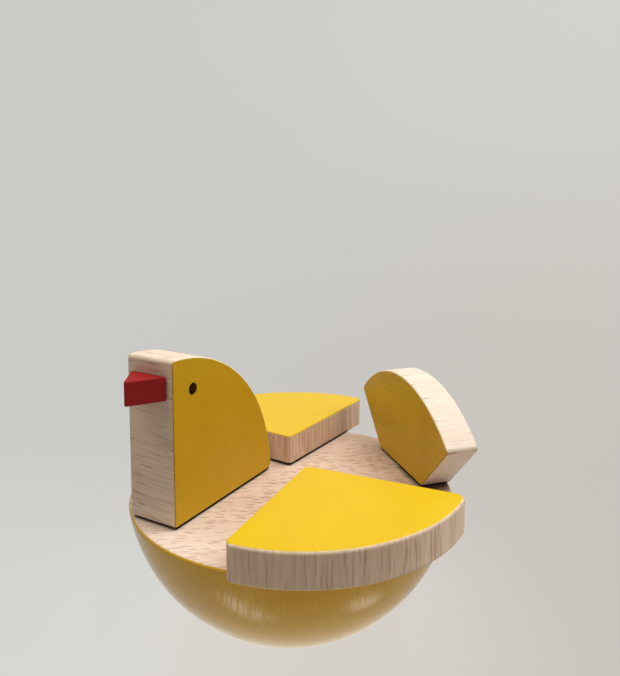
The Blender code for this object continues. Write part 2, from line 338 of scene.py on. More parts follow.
@dataclass(frozen=True)
class Beech:
    """Bare beech whose fibres run along Z of the position that it is given."""

    pale: Colour = (0.84, 0.67, 0.52)
    deep: Colour = (0.66, 0.47, 0.34)
    fleck: Colour = (0.36, 0.21, 0.14)
    fleck_cell: Point = (0.0011, 0.0011, 0.0075)
    fleck_share: float = 0.45
    fleck_edge: float = 0.5
    fleck_reach: float = 0.30
    fleck_strength: float = 0.7
    fleck_depth: float = 1.2e-5
    streak: float = 0.0009
    streak_length: float = 0.016
    streak_strength: float = 1.5
    band_cell: Point = (0.007, 0.007, 0.05)
    band_strength: float = 0.9
    band_shift: float = 7.0
    line_cell: Point = (0.0004, 0.0004, 0.008)
    line_span: Pair = (0.58, 0.70)
    line_strength: float = 0.4
    line_depth: float = 0.6e-5
    line_shift: float = 3.0
    roughness: Pair = (0.50, 0.62)
    slant: Point = (0.0, 0.0, 0.0)
    shift: float = 0.0

    def skin(self, sheet: NodeSheet, position: Wire) -> Skin:
        """Draws the fibre streaks, the dark flecks and hairlines.

        Args:
            sheet: The node sheet.
            position: The position vector, with its Z along the fibres.

        Returns:
            The bare wood.
        """
        position = sheet.vector("MULTIPLY_ADD", sheet.split(position)[2], self.slant, position)
        streak = sheet.noise(position, (self.streak, self.streak, self.streak_length), self.shift, FINE)
        band = sheet.noise(position, self.band_cell, self.shift + self.band_shift, PLAIN)
        hair = sheet.noise(position, self.line_cell, self.shift + self.line_shift, PLAIN)
        fleck = sheet.specks(
            position, self.fleck_cell, self.shift, self.fleck_reach, self.fleck_share, self.fleck_edge)
        line = hair.rise(*self.line_span)
        tone = MIDDLE + streak.swing(self.streak_strength) + band.swing(self.band_strength)
        dark = (fleck * self.fleck_strength).most(line * self.line_strength)
        relief = fleck * -self.fleck_depth + line * -self.line_depth
        wood = Skin(sheet.blend(tone, self.deep, self.pale), streak.between(*self.roughness), relief)
        return wood.tinted(self.fleck, dark)

    def make(self, name: str, place: Matrix, specular: float = 0.4) -> bpy.types.Material:
        """Makes a material of nothing but the bare wood, in a frame with its Z along the fibres."""
        sheet = NodeSheet.material(name)
        return sheet.dress(self.skin(sheet, sheet.local(place)), specular)


@dataclass(frozen=True)
class YellowPaint:
    """Satin yellow paint on sawn end grain, which shows saw marks and a few open pores."""

    mark_turn: float
    shift: float
    bright: Colour = (0.79, 0.535, 0.013)
    rich: Colour = (0.73, 0.465, 0.008)
    pore: Colour = (0.20, 0.09, 0.004)
    pore_cell: Point = (0.0040, 0.0040, 0.02)
    pore_reach: float = 0.055
    pore_share: float = 0.40
    pore_edge: float = 0.4
    pore_strength: float = 0.8
    cloud_cell: Point = (0.012, 0.012, 0.012)
    cloud_strength: float = 0.9
    cloud_shift: float = 2.0
    mark_length: float = 0.018
    mark_width: float = 0.0004
    mark_depth: float = 0.02
    mark_strength: float = 0.7
    roughness: Pair = (0.36, 0.50)
    relief: float = 8e-6

    def skin(self, sheet: NodeSheet, position: Wire) -> Skin:
        """Draws the paint.

        Args:
            sheet: The node sheet.
            position: The position vector, with its Z square to the painted face.

        Returns:
            The paint.
        """
        inputs = {"Vector": position, "Rotation": (0.0, 0.0, -self.mark_turn)}
        along = sheet.add("ShaderNodeMapping", {"vector_type": "POINT"}, inputs)
        marks = sheet.noise(along, (self.mark_length, self.mark_width, self.mark_depth), self.shift)
        cloud = sheet.noise(position, self.cloud_cell, self.shift + self.cloud_shift)
        pores = sheet.specks(
            position, self.pore_cell, self.shift, self.pore_reach, self.pore_share, self.pore_edge)
        tone = MIDDLE + cloud.swing(self.cloud_strength) + marks.swing(self.mark_strength)
        colour = sheet.blend(tone, self.rich, self.bright)
        paint = Skin(colour, marks.between(*self.roughness), marks * self.relief)
        return paint.tinted(self.pore, pores * self.pore_strength)


@dataclass(frozen=True)
class SlabFinish:
    """A slab with bare edges and painted sides."""

    wood: Beech
    paint: YellowPaint
    lap: float = 0.00028
    arc_margin: float = 0.00035
    blur: float = 0.00003
    waver: float = 0.00012
    waver_cell: Point = (0.0008, 0.0008, 0.02)
    edge_shade: float = 0.0
    edge_span: Pair = (0.00003, 0.00012)
    # The pale arris beside the paint: partly worn paint, partly painted highlight.
    worn_and_lit: float = 0.3
    worn_and_lit_reach: float = 0.0009
    worn_and_lit_full: float = 0.3
    worn_and_lit_waver: float = 2.0
    worn_and_lit_spread: Pair = (0.3, 1.1)
    worn_paint_and_highlight: Colour = (0.92, 0.80, 0.44)
    grit_cell: Point = (0.0006, 0.0006, 0.0006)
    grit_span: Pair = (0.35, 0.60)
    gap_shade: Colour = (0.008, 0.002, 0.002)
    gap_roughness: float = 0.9
    foot_blur: Pair = (0.00008, 0.00004)
    deck_reach: Pair = (0.0492, 0.0488)
    specular: float = 0.35

    def foot_shade(self, sheet: NodeSheet, foot_line: float) -> Wire:
        """Finds the painted contact shadow where the slab meets the deck.

        Args:
            sheet: The node sheet.
            foot_line: The height that the painted shadow reaches.

        Returns:
            1 in the painted shadow and 0 above it or outside the deck.
        """
        across, along, height = sheet.split(sheet.local())
        low = height.rise(foot_line + self.foot_blur[0], foot_line - self.foot_blur[1])
        return low * across.reach(along).rise(*self.deck_reach)

    def make(self, slab: "QuarterSlab") -> bpy.types.Material:
        """Makes the material, with a slightly uneven line where the paint ends.

        Args:
            slab: The slab, whose frame the material is made in.

        Returns:
            The material.
        """
        sheet = NodeSheet.material(slab.node + "_finish")
        position = sheet.local(slab.place)
        across, along, depth = sheet.split(position)
        waver = sheet.noise(position, self.waver_cell, self.wood.shift, FINE).swing(self.waver)
        inside = depth.least(slab.thickness - depth)
        margin = slab.radius - across.reach(along)
        lapped = (inside + waver).rise(self.lap + self.blur, self.lap - self.blur)
        inward = (margin + waver).rise(self.arc_margin - self.blur, self.arc_margin + self.blur)
        # A darker band where the paint wraps the arris: painted shade that holds down the highlight the
        # rounding would catch.
        shade = inside.rise(*self.edge_span) * self.edge_shade
        paint = self.paint.skin(sheet, position).tinted(self.paint.pore, shade)
        grit = sheet.noise(position, self.grit_cell, self.wood.shift, PLAIN).rise(*self.grit_span)
        # A pale band on the arris beside the paint, partly thin worn paint and partly a painted highlight
        # where the rounding catches the light.
        edge = (inside + waver * self.worn_and_lit_waver).rise(self.worn_and_lit_reach, self.worn_and_lit_full * self.worn_and_lit_reach)
        worn_and_lit = edge * self.worn_and_lit * grit.between(*self.worn_and_lit_spread)
        bare = self.wood.skin(sheet, position).tinted(self.worn_paint_and_highlight, worn_and_lit)
        surface = bare.under(paint, lapped * inward)
        # Painted contact shadow along the foot, where the slab meets the deck.
        gap = Skin(self.gap_shade, self.gap_roughness, surface.height)
        return sheet.dress(surface.under(gap, self.foot_shade(sheet, slab.foot_line)), self.specular)


@dataclass(frozen=True)
class DeckLightPatch:
    """Painted light on the deck: a slow change of its colour along X, which is axis 0, or Y, which is axis
    1.
    """

    axis: int
    span: Pair
    strength: float
    colour: Colour


@dataclass(frozen=True)
class BallFinish:
    """The half ball: a bare deck, and thin glossy paint over the turned side and the rim."""

    deck_height: float
    tail: "Tail"
    wood: Beech = Beech(
        pale=(0.87, 0.69, 0.575), deep=(0.70, 0.50, 0.40), fleck=(0.46, 0.26, 0.165),
        fleck_cell=(0.0009, 0.0009, 0.0050), fleck_share=0.9, fleck_edge=0.7, fleck_reach=0.36,
        fleck_strength=0.9, line_cell=(0.0009, 0.0009, 0.0045))
    painted_light_patches: tuple[DeckLightPatch, ...] = (
        DeckLightPatch(axis=1, span=(-0.005, -0.040), strength=0.28, colour=(0.98, 0.90, 0.85)),
        DeckLightPatch(axis=0, span=(-0.015, -0.032), strength=0.5, colour=(1.0, 0.79, 0.67)),
    )
    deck_roughness: float = 0.70
    overhang_shade: Colour = (0.10, 0.04, 0.02)
    overhang_reach: float = 0.011
    overhang_blur: Pair = (0.0022, 0.0010)
    overhang_sides: Pair = (0.88, 0.30)
    overhang_turn: Pair = (0.0, -0.001)
    grain_turn: float = math.radians(12.9)
    bright: Colour = (0.84, 0.53, 0.016)
    rich: Colour = (0.70, 0.40, 0.009)
    figure_cell: Point = (0.006, 0.006, 0.03)
    figure_shift: float = 1.0
    figure_strength: float = 0.9
    low_light_span: Pair = (0.7, 0.1)
    low_light_strength: float = 0.9
    ring_cell: Point = (0.05, 0.05, 0.0007)
    ring_shift: float = 4.0
    ring_strength: float = 0.25
    ring_relief: float = 5e-5
    ring_span: Pair = (0.42, 0.62)
    ring_roughness: float = 0.30
    facing_span: Pair = (0.62, 0.45)
    roughness: float = 0.11
    specular: float = 0.5
    waver: float = 0.00008
    waver_cell: Point = (0.002, 0.002, 0.002)
    waver_shift: float = 9.0
    rim_margin: Pair = (0.00016, 0.00022)

    def make(self) -> bpy.types.Material:
        """Makes the material, with the lathe's rings square to the fibres.

        Returns:
            The material.
        """
        sheet = NodeSheet.material("turned_ball_finish")
        fibres = Matrix.Rotation(-self.grain_turn, 4, "Z") @ Matrix.Rotation(-QUARTER, 4, "X")
        position = sheet.local(fibres)
        bare = self.wood.skin(sheet, position)
        level = sheet.split(sheet.local())
        # Painted light: the deck grows lighter towards the front and towards the bird's right side.
        for fade in self.painted_light_patches:
            bare = bare.tinted(fade.colour, level[fade.axis].rise(*fade.span) * fade.strength)
        bare = bare.tinted(self.overhang_shade, self.overhang(sheet))
        bare = replace(bare, roughness=self.deck_roughness)
        rings = sheet.noise(position, self.ring_cell, self.ring_shift)
        figure = sheet.noise(position, self.figure_cell, self.figure_shift)
        facing = sheet.add("ShaderNodeLayerWeight", {}, {"Blend": 0.5}, "Facing")
        # Painted light: the paint grows lighter towards the bottom of the ball, where light reaches it from
        # below.
        low = level[2].rise(*[share * self.deck_height for share in self.low_light_span])
        tone = figure.swing(self.figure_strength) + rings.swing(self.ring_strength)
        tone = tone + low * self.low_light_strength
        rough = rings.rise(*self.ring_span) * facing.rise(*self.facing_span) * self.ring_roughness
        colour = sheet.blend(tone, self.rich, self.bright)
        paint = Skin(colour, self.roughness + rough, rings * self.ring_relief)
        edge = level[2] + sheet.noise(position, self.waver_cell, self.waver_shift).swing(self.waver)
        cover = edge.rise(*[self.deck_height - margin for margin in self.rim_margin])
        return sheet.dress(bare.under(paint, cover), self.specular)

    def overhang(self, sheet: NodeSheet) -> Wire:
        """Finds the deck's shade under the slanting sides of the tail.

        Args:
            sheet: The node sheet.

        Returns:
            The shade's strength.
        """
        across, along, _ = sheet.split(sheet.local(self.tail.seat))
        foot = self.tail.point_cut
        half = self.tail.thickness / 2
        beside = abs(across).rise(foot + self.overhang_reach, foot)
        level = abs(along - half).rise(half + self.overhang_blur[0], half - self.overhang_blur[1])
        return beside * level * across.rise(*self.overhang_turn).between(*self.overhang_sides)


@dataclass(frozen=True)
class PlainFinish:
    """One paint or one dark stain over fine grain, for the beak and the eyes."""

    light: Colour
    dark: Colour
    roughness: float
    specular: float
    grain_cell: Point = (0.0005, 0.0005, 0.006)
    grain_shift: float = 5.0
    grain_strength: float = 1.2
    grain_roughness: float = 0.15
    grain_relief: float = 0.6e-5
    cloud_cell: Point = (0.003, 0.003, 0.003)
    cloud_shift: float = 1.0
    cloud_strength: float = 0.8

    def make(self, name: str, place: Matrix) -> bpy.types.Material:
        """Makes the material.

        Args:
            name: The material's name.
            place: The piece's frame, with its Z along the grain.

        Returns:
            The material.
        """
        sheet = NodeSheet.material(name)
        position = sheet.local(place)
        grain = sheet.noise(position, self.grain_cell, self.grain_shift, FINE)
        cloud = sheet.noise(position, self.cloud_cell, self.cloud_shift, PLAIN)
        tone = MIDDLE + grain.swing(self.grain_strength) + cloud.swing(self.cloud_strength)
        colour = sheet.blend(tone, self.dark, self.light)
        roughness = self.roughness + grain.swing(self.grain_roughness)
        return sheet.dress(Skin(colour, roughness, grain * self.grain_relief), self.specular)


# The bench


@dataclass(frozen=True)
class Bore:
    """A flat-ended hole along Z of its own frame."""

    place: Matrix
    radius: float
    low: float
    high: float


def sharper_than(angle: float) -> Callable[[bmesh.types.BMEdge], bool]:
    """Returns a test that picks the edges whose two faces turn by more than an angle."""
    return lambda edge: edge.calc_face_angle(0.0) > angle


class Blank:
    """A piece on the bench, shaped with Blender's own modelling tools."""

    def __init__(self, name: str) -> None:
        """Takes up the primitive that was just added.

        Args:
            name: The piece's name.
        """
        self.item = bpy.context.active_object
        self.item.name = name
        self.item.data.name = name
        bpy.ops.object.transform_apply(location=True, rotation=True, scale=True)

    @staticmethod
    def clear() -> None:
        """Deselects everything."""
        for other in list(bpy.context.selected_objects):
            other.select_set(False)

    def take(self) -> None:
        """Selects the blank alone and makes it active."""
        self.clear()
        self.item.select_set(True)
        bpy.context.view_layer.objects.active = self.item

    @classmethod
    def rod(cls, name: str, radius: float, low: float, high: float, sides: int) -> "Blank":
        """Starts from a rod that stands on end.

        Args:
            name: The piece's name.
            radius: The rod's radius.
            low: Its lower end.
            high: Its upper end.
            sides: The number of its sides.

        Returns:
            The blank.
        """
        cls.clear()
        bpy.ops.mesh.primitive_cylinder_add(
            vertices=sides, radius=radius, depth=high - low, location=(0.0, 0.0, (low + high) / 2))
        return cls(name)

    @contextmanager
    def edit(self) -> Iterator[bmesh.types.BMesh]:
        """Opens the blank in edit mode with nothing selected.

        Yields:
            The mesh, whose edges and faces can be selected.
        """
        self.take()
        bpy.ops.object.mode_set(mode="EDIT")
        bpy.ops.mesh.select_mode(type="EDGE")
        bpy.ops.mesh.select_all(action="DESELECT")
        yield bmesh.from_edit_mesh(self.item.data)
        bpy.ops.object.mode_set(mode="OBJECT")

    def saw(self, point: Point, away: Point) -> None:
        """Saws off one side and closes the cut.

        Args:
            point: A point of the cut.
            away: The direction of the side that comes off.
        """
        with self.edit():
            bpy.ops.mesh.select_all(action="SELECT")
            bpy.ops.mesh.bisect(
                plane_co=point, plane_no=away, use_fill=True, clear_outer=True, threshold=TOUCH)

    def plane_round(self, centre: Pair, radius: float, start: float, end: float) -> None:
        """Planes an upright corner round with cuts that touch its rounding.

        Args:
            centre: The middle of the rounding, in X and Y.
            radius: Its radius.
            start: The direction that the face before the corner looks in.
            end: The direction that the face after it looks in.
        """
        steps = math.ceil((end - start) / FACET)
        for step in range(1, steps):
            turn = start + (end - start) * step / steps
            away = (math.cos(turn), math.sin(turn), 0.0)
            self.saw((centre[0] + radius * away[0], centre[1] + radius * away[1], 0.0), away)

    def ease_edges(self, picks: Callable[[bmesh.types.BMEdge], bool], width: float, facets: int) -> None:
        """Rounds the picked edges.

        Args:
            picks: Tells whether an edge is rounded.
            width: How far the rounding reaches from the edge.
            facets: The number of its facets.
        """
        with self.edit() as shape:
            for edge in shape.edges:
                edge.select_set(picks(edge))
            bmesh.update_edit_mesh(self.item.data)
            bpy.ops.mesh.bevel(
                offset_type="OFFSET", offset=width, segments=facets, affect="EDGES", clamp_overlap=False,
                face_strength_mode="ALL")

    def ease_rims(self, width: Callable[[Vector], float], widest: float) -> None:
        """Rounds every edge that is still sharp, by a width that changes from place to place.

        Args:
            width: Gives the rounding's width at a place.
            widest: The greatest width.
        """
        with self.edit() as shape:
            layers = shape.edges.layers.float
            weight = layers.get("bevel_weight_edge") or layers.new("bevel_weight_edge")
            for edge in filter(sharper_than(SHARP), shape.edges):
                edge[weight] = width((edge.verts[0].co + edge.verts[1].co) / 2) / widest
            bmesh.update_edit_mesh(self.item.data)
        settings = {
            "limit_method": "WEIGHT",
            "width": widest,
            "segments": 5,
            "use_clamp_overlap": False,
            "face_strength_mode": "FSTR_ALL",
        }
        self.apply("BEVEL", settings)

    def split_flats(self) -> None:
        """Splits the large flat faces into even triangles."""
        with self.edit() as shape:
            bpy.ops.mesh.select_mode(type="FACE")
            for face in shape.faces:
                face.select_set(len(face.verts) > MOST_CORNERS)
            bmesh.update_edit_mesh(self.item.data)
            bpy.ops.mesh.quads_convert_to_tris(quad_method="BEAUTY", ngon_method="BEAUTY")

    def apply(self, kind: str, settings: dict) -> None:
        """Adds a modifier and applies it.

        Args:
            kind: The modifier's type.
            settings: Its properties.
        """
        self.take()
        modifier = self.item.modifiers.new(kind.lower(), kind)
        for key, value in settings.items():
            setattr(modifier, key, value)
        bpy.ops.object.modifier_apply(modifier=modifier.name)

    def bore(self, bores: Sequence[Bore], place: Matrix = Matrix.Identity(4)) -> None:
        """Drills the blank.

        Args:
            bores: The holes, in the CAD's frame.
            place: Where the blank goes later, if it isn't in its place yet.
        """
        drills = []
        for hole in bores:
            drill = Blank.rod("drill", hole.radius, hole.low, hole.high, sides=32)
            drill.move(place.inverted() @ hole.place)
            drills.append(drill.item)
        for drill in drills:
            drill.select_set(True)
        if len(drills) > 1:
            bpy.ops.object.join()
        gang = bpy.context.active_object
        self.apply("BOOLEAN", {"operation": "DIFFERENCE", "solver": "MANIFOLD", "object": gang})
        bpy.data.objects.remove(gang, do_unlink=True)

    def move(self, place: Matrix) -> None:
        """Moves the blank into a frame and puts its place in its mesh.

        Args:
            place: The frame.
        """
        self.take()
        self.item.matrix_world = place
        bpy.ops.object.transform_apply(location=True, rotation=True, scale=True)

    def finish(self, look: bpy.types.Material) -> bpy.types.Object:
        """Smooths the shading, gives the piece its material and takes it off the bench.

        Args:
            look: The material.

        Returns:
            The finished piece.
        """
        self.take()
        bpy.ops.object.shade_smooth_by_angle(angle=SMOOTH)
        self.split_flats()
        settings = {"mode": "FACE_AREA", "weight": 50, "keep_sharp": True, "use_face_influence": True}
        self.apply("WEIGHTED_NORMAL", settings)
        self.item.data.materials.clear()
        self.item.data.materials.append(look)
        return self.item


def deliver(piece: bpy.types.Object, body: Body, node: str) -> None:
    """Puts a finished piece in the place of its CAD node.

    Args:
        piece: The finished piece.
        body: The CAD body that it rides on.
        node: The CAD node that it stands for.
    """
    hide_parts(node)
    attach(piece, body.value)
    log.info("%s stands for %s on %s, %d faces", piece.name, node, body.value, len(piece.data.polygons))


# The bird


@dataclass(frozen=True)
class Layout:
    """The sizes that the pieces share."""

    deck_radius: float = 0.050
    ball_rise: float = 0.0076
    foot_radius: float = 0.003
    bird_shift: float = -0.00255
    head_radius: float = 0.0474
    head_thickness: float = 0.0165
    head_past_rim: float = 0.0002
    gap: float = 0.0003
    bore_gap: float = 0.0002
    end_gap: float = 0.0005
    foot_shadow: float = 0.0007

    @property
    def ball_radius(self) -> float:
        """The ball's radius, a little more than the deck's."""
        return math.hypot(self.deck_radius, self.ball_rise)

    @property
    def deck_height(self) -> float:
        """The deck's height over the small flat that the ball stands on."""
        return math.sqrt(self.ball_radius**2 - self.foot_radius**2) - self.ball_rise

    @property
    def pivot_back(self) -> float:
        """How far back the head's pivot is."""
        return self.head_radius / 2 - self.head_past_rim - self.deck_radius

    @property
    def swing_radius(self) -> float:
        """The radius of the circle that the turning head sweeps."""
        return math.hypot(self.head_radius, self.head_thickness) / 2

    @property
    def foot_line(self) -> float:
        """How high the painted contact shadow reaches where the slabs meet the deck."""
        return self.deck_height + self.gap + self.foot_shadow

    @property
    def deck(self) -> Matrix:
        """The frame on the deck that the bird is set out in."""
        return Matrix.Translation((self.bird_shift, 0.0, self.deck_height))


@dataclass
class Dowel:
    """A fluted dowel, peg or pin along Z of its frame. Low and high are the ends of its bores."""

    node: str
    place: Matrix
    radius: float
    low: float
    high: float
    body: Body = Body.ROCKER
    work: str = "fluted"
    flutes: int = 12
    flute_share: float = 0.25
    flute_rim: float = 0.0125
    flute_depth: float = 0.05
    chamfer: float = 0.0004
    wood: Beech = Beech(shift=11.0)

    def bore(self, gap: float = Layout.bore_gap) -> Bore:
        """Returns its bore, with a gap round it."""
        return Bore(self.place, self.radius + gap, self.low, self.high)

    def build(self) -> None:
        """Turns the dowel, presses its flutes and delivers it."""
        name = f"{self.node}_{self.work}"
        low, high = self.low + Layout.end_gap, self.high - Layout.end_gap
        blank = Blank.rod(name, self.radius, low, high, sides=4 * self.flutes)
        blank.ease_edges(sharper_than(QUARTER / 2), self.chamfer, facets=2)
        with blank.edit() as shape:
            bpy.ops.mesh.select_mode(type="FACE")
            for face in shape.faces:
                turn = math.atan2(face.normal.y, face.normal.x) / math.tau * self.flutes
                face.select_set(abs(face.normal.z) < UPRIGHT and turn % 1.0 < self.flute_share)
            bmesh.update_edit_mesh(blank.item.data)
            bpy.ops.mesh.inset(
                thickness=self.radius * self.flute_rim, depth=-self.radius * self.flute_depth,
                use_individual=True)
        blank.move(self.place)
        look = self.wood.make(name + "_wood", self.place)
        deliver(blank.finish(look), self.body, self.node)


@dataclass
class QuarterSlab:
    """A slab sawn from a quarter-round stick.

    In its frame the centre of the round is the origin, the middle of the round is on +X, and the
    thickness runs up from z = 0. The toe is the rounded corner at +Y and the heel the one at -Y.
    """

    node: str
    place: Matrix
    radius: float
    thickness: float
    foot_line: float
    toe: float
    heel: float
    point: float = 0.0011
    arris: float = 0.0003
    arc_arris: float = 0.0005
    low_arris: float = 0.0005
    point_cut: float = 0.0
    sides: int = 128

    def arris_at(self, place: Vector) -> float:
        """Finds the arris's width, which changes from the straight edges to the arc.

        Args:
            place: A place on an edge, in the slab's frame.

        Returns:
            The width there.
        """
        corner = self.toe if place.y > 0.0 else self.heel
        share = min(1.0, max(0.0, (place.xy.length - self.radius) / corner + 1.0))
        widest = self.arc_arris if place.z > self.thickness / 2 else self.low_arris
        return self.arris + (widest - self.arris) * share * share

    def shape(self) -> Blank:
        """Saws the slab and rounds its corners and arrises.

        Returns:
            The slab, not yet in its place.
        """
        half = QUARTER / 2
        blank = Blank.rod(self.node + "_slab", self.radius, 0.0, self.thickness, self.sides)
        for side in (-1.0, 1.0):
            blank.saw((0.0, 0.0, 0.0), (-1.0, side, 0.0))
        for side, radius in ((-1, self.heel), (1, self.toe)):
            reach = self.radius - radius
            turn = side * (half - math.asin(radius / reach))
            start, end = sorted((turn, side * 3 * half))
            blank.plane_round((reach * math.cos(turn), reach * math.sin(turn)), radius, start, end)
        if self.point_cut:
            blank.saw((self.point_cut, 0.0, 0.0), (-1.0, 0.0, 0.0))
            deep = self.point_cut + self.point
            wide = deep - self.point / math.sin(half)
            blank.plane_round((deep, wide), self.point, 3 * half, math.pi)
            blank.plane_round((deep, -wide), self.point, math.pi, 5 * half)
        else:
            blank.plane_round((self.point / math.sin(half), 0.0), self.point, 3 * half, 5 * half)
        blank.ease_rims(self.arris_at, max(self.arris, self.arc_arris, self.low_arris))
        return blank

    def build(self, bores: Sequence[Bore], finish: SlabFinish, body: Body) -> None:
        """Shapes, drills and paints the slab and delivers it.

        Args:
            bores: The holes, in the CAD's frame.
            finish: The slab's finish.
            body: The CAD body that the slab rides on.
        """
        blank = self.shape()
        blank.bore(bores, self.place)
        blank.move(self.place)
        deliver(blank.finish(finish.make(self)), body, self.node)


@dataclass
class Ball:
    """The turned half ball with its deck."""

    layout: Layout
    tail: "Tail"
    rim_round: float = 0.0010
    sides: int = 128

    def build(self, bores: Sequence[Bore]) -> None:
        """Saws the ball in half, flattens its foot, eases its rim and drills its deck.

        Args:
            bores: The holes in the deck.
        """
        size = self.layout
        deck = size.deck_height
        Blank.clear()
        bpy.ops.mesh.primitive_uv_sphere_add(
            segments=self.sides, ring_count=self.sides // 2, radius=size.ball_radius,
            location=(0.0, 0.0, deck + size.ball_rise))
        blank = Blank("rocker_half_ball")
        blank.saw((0.0, 0.0, deck), (0.0, 0.0, 1.0))
        blank.saw((0.0, 0.0, 0.0), (0.0, 0.0, -1.0))
        turn = QUARTER + math.asin(size.ball_rise / size.ball_radius)

        def on_rim(edge: bmesh.types.BMEdge) -> bool:
            """Picks the edges round the deck."""
            return all(abs(corner.co.z - deck) < TOUCH for corner in edge.verts)

        blank.ease_edges(on_rim, self.rim_round * math.tan(turn / 2), facets=5)
        blank.bore(bores)
        look = BallFinish(deck, self.tail).make()
        deliver(blank.finish(look), Body.ROCKER, "half_ball")


@dataclass
class Head:
    """The standing head with its peg, beak and eyes, which turn together."""

    layout: Layout
    turn: float = math.radians(45.2)
    toe: float = 0.0013
    heel: float = 0.0022
    peg_radius: float = 0.0040
    peg_in_head: float = 0.0160
    peg_in_deck: float = 0.0140
    beak_margin: float = 0.0016
    beak_length: float = 0.0099
    beak_height: float = 0.0067
    beak_below_crown: float = 0.0078
    beak_round: float = 0.0006
    beak_arris: float = 0.0003
    pin_radius: float = 0.0015
    pin_reach: float = 0.0045
    eye_radius: float = 0.00155
    eye_back: float = 0.0083
    eye_below_crown: float = 0.0098
    eye_web: float = 0.0020
    eye_rim: float = 0.0002
    eye_overcut: float = 0.0006
    # The head's paint is darker and its wood paler than the wings', for the same paint and beech: painted
    # shade on its sides and painted light on its bare edges.
    finish: SlabFinish = SlabFinish(
        Beech(
            pale=(0.94, 0.80, 0.68), deep=(0.72, 0.55, 0.44), fleck=(0.44, 0.27, 0.18),
            fleck_cell=(0.0010, 0.0010, 0.0100), fleck_share=0.40, line_strength=0.55,
            slant=(0.04, 0.04, 0.0), shift=1.3),
        YellowPaint(
            mark_turn=math.radians(-96.0), shift=1.0, bright=(0.57, 0.345, 0.012),
            rich=(0.52, 0.295, 0.006), mark_strength=1.3, mark_width=0.0006),
        edge_shade=0.4, specular=0.2)
    beak_paint: PlainFinish = PlainFinish(
        light=(0.31, 0.0120, 0.0145), dark=(0.27, 0.009, 0.011), roughness=0.52, specular=0.2)
    eye_stain: PlainFinish = PlainFinish(
        light=(0.036, 0.008, 0.003), dark=(0.014, 0.003, 0.001), roughness=0.7, specular=0.05)

    @property
    def pivot(self) -> Matrix:
        """The frame that turns with the head, under its middle."""
        back = Matrix.Translation((0.0, self.layout.pivot_back, 0.0))
        return self.layout.deck @ back @ Matrix.Rotation(self.turn, 4, "Z")

    @property
    def crown(self) -> float:
        """The height of the head's top over the deck."""
        return self.layout.gap + self.layout.head_radius

    def peg(self) -> Dowel:
        """Returns the peg that the head turns on."""
        high = self.layout.gap + self.peg_in_head
        return Dowel("neck_peg", self.pivot, self.peg_radius, -self.peg_in_deck, high, Body.HEAD, "turned")

    def beak_pin(self) -> Dowel:
        """Sets out the pin between the beak and the head.

        Returns:
            The pin.
        """
        front = (0.0, -self.layout.head_radius / 2, self.crown - self.beak_below_crown)
        place = self.pivot @ Matrix.Translation(front) @ Matrix.Rotation(QUARTER, 4, "X")
        high = self.layout.gap + self.pin_reach
        return Dowel("beak_pin", place, self.pin_radius, -self.pin_reach, high, Body.HEAD, "turned")

    def eye_place(self, side: int) -> Matrix:
        """Finds the frame of an eye on a side face of the head.

        Args:
            side: 1 on the left and -1 on the right.

        Returns:
            The frame, with its Z out of the face.
        """
        half = self.layout.head_thickness / 2
        spot = (side * half, self.eye_back - self.layout.head_radius / 2, self.crown - self.eye_below_crown)
        return self.pivot @ Matrix.Translation(spot) @ Matrix.Rotation(side * QUARTER, 4, "Y")

    @property
    def eye_depth(self) -> float:
        """The depth of an eye's bore, which stops short of the beak's pin."""
        return self.layout.head_thickness / 2 - self.pin_radius - self.eye_web

    def build(self) -> None:
        """Builds the head, its peg, the beak and the eyes."""
        size = self.layout
        foot = Matrix.Translation((-size.head_thickness / 2, -size.head_radius / 2, size.gap))
        upright = Euler((QUARTER, 0.0, QUARTER)).to_matrix().to_4x4()
        place = self.pivot @ foot @ upright @ Matrix.Rotation(QUARTER / 2, 4, "Z")
        slab = QuarterSlab(
            "head", place, size.head_radius, size.head_thickness, size.foot_line, self.toe, self.heel)
        wide = self.eye_radius + size.bore_gap
        eyes = [Bore(self.eye_place(side), wide, -self.eye_depth, self.eye_overcut) for side in (1, -1)]
        slab.build([self.peg().bore(), self.beak_pin().bore(), *eyes], self.finish, Body.HEAD)
        self.peg().build()
        self.beak_pin().build()
        self.build_beak()
        self.build_eye("left_eye", 1)
        self.build_eye("right_eye", -1)

    def build_beak(self) -> None:
        """Saws the beak from a three-cornered stick."""
        size = self.layout
        around = 2 * (size.head_thickness / 2 - self.beak_margin) / math.sqrt(3.0)
        stretch = self.beak_length / (around * 1.5)
        blank = Blank.rod("beak_block", around, 0.0, self.beak_height, sides=3)
        longer = Matrix.Diagonal((1.0, stretch, 1.0, 1.0)) @ Matrix.Rotation(math.pi, 4, "Z")
        blank.move(Matrix.Translation((0.0, -around / 2 * stretch, 0.0)) @ longer)

        def stands(edge: bmesh.types.BMEdge) -> bool:
            """Picks the three upright edges."""
            return abs(edge.verts[0].co.z - edge.verts[1].co.z) > self.beak_height / 2

        blank.ease_edges(stands, self.beak_round * math.tan(math.pi / 3), facets=5)
        blank.ease_edges(sharper_than(SHARP), self.beak_arris, facets=3)
        low = self.crown - self.beak_below_crown - self.beak_height / 2
        place = self.pivot @ Matrix.Translation((0.0, -size.head_radius / 2 - size.gap, low))
        blank.bore([self.beak_pin().bore()], place)
        blank.move(place)
        look = self.beak_paint.make("beak_paint", place)
        deliver(blank.finish(look), Body.HEAD, "beak")

